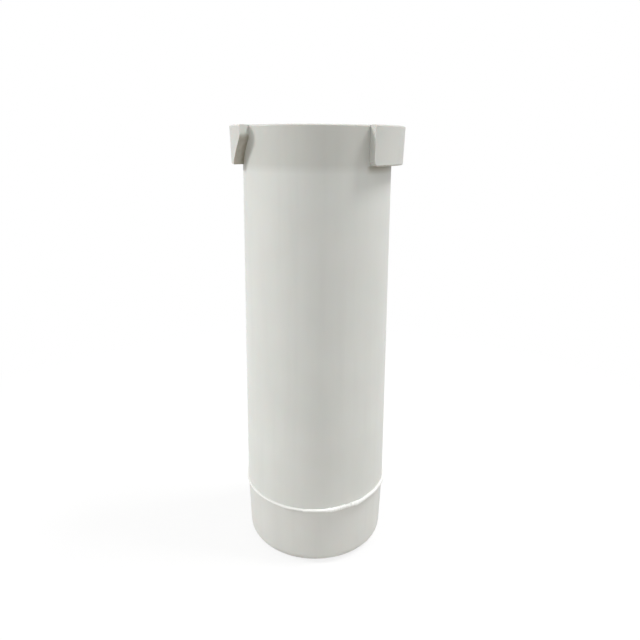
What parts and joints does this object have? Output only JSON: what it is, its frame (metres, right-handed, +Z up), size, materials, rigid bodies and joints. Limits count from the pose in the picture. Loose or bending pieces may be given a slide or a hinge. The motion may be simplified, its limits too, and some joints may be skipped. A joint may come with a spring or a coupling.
{
  "type": "fridge water filter cartridge",
  "caption": "Sealed white fridge water filter cartridge: plain tube, welded bottom cap, bayonet collar with ramped lugs, recessed spigot with ring seals and a carbon block inside",
  "frame": {"origin": "Centre of the base that the cartridge stands on", "axes": "+Z up the cartridge's axis towards the spigot; X runs through the middles of the bayonet lugs"},
  "size_m": [0.07, 0.064, 0.1824],
  "materials": {
    "white_plastic": "satin",
    "cap_plastic": "satin",
    "flash_plastic": "satin",
    "seal_rubber": "satin",
    "carbon": "matte",
    "non_woven": "matte",
    "net_plastic": "gloss",
    "end_cap_plastic": "satin",
    "hot_melt": "gloss"
  },
  "bodies": {
    "root": {"housing": "white_plastic", "bottom_cap": "cap_plastic", "weld_flash": "flash_plastic", "inlet_o_ring": "seal_rubber", "outlet_o_ring": "seal_rubber", "carbon_block": "carbon", "core_sleeve": "non_woven", "sediment_wrap": "non_woven", "outer_netting": "net_plastic", "upper_end_cap": "end_cap_plastic", "lower_end_cap": "end_cap_plastic", "upper_glue_ring": "hot_melt", "lower_glue_ring": "hot_melt", "upper_tube_o_ring": "seal_rubber", "lower_tube_o_ring": "seal_rubber"}
  },
  "joints": []
}
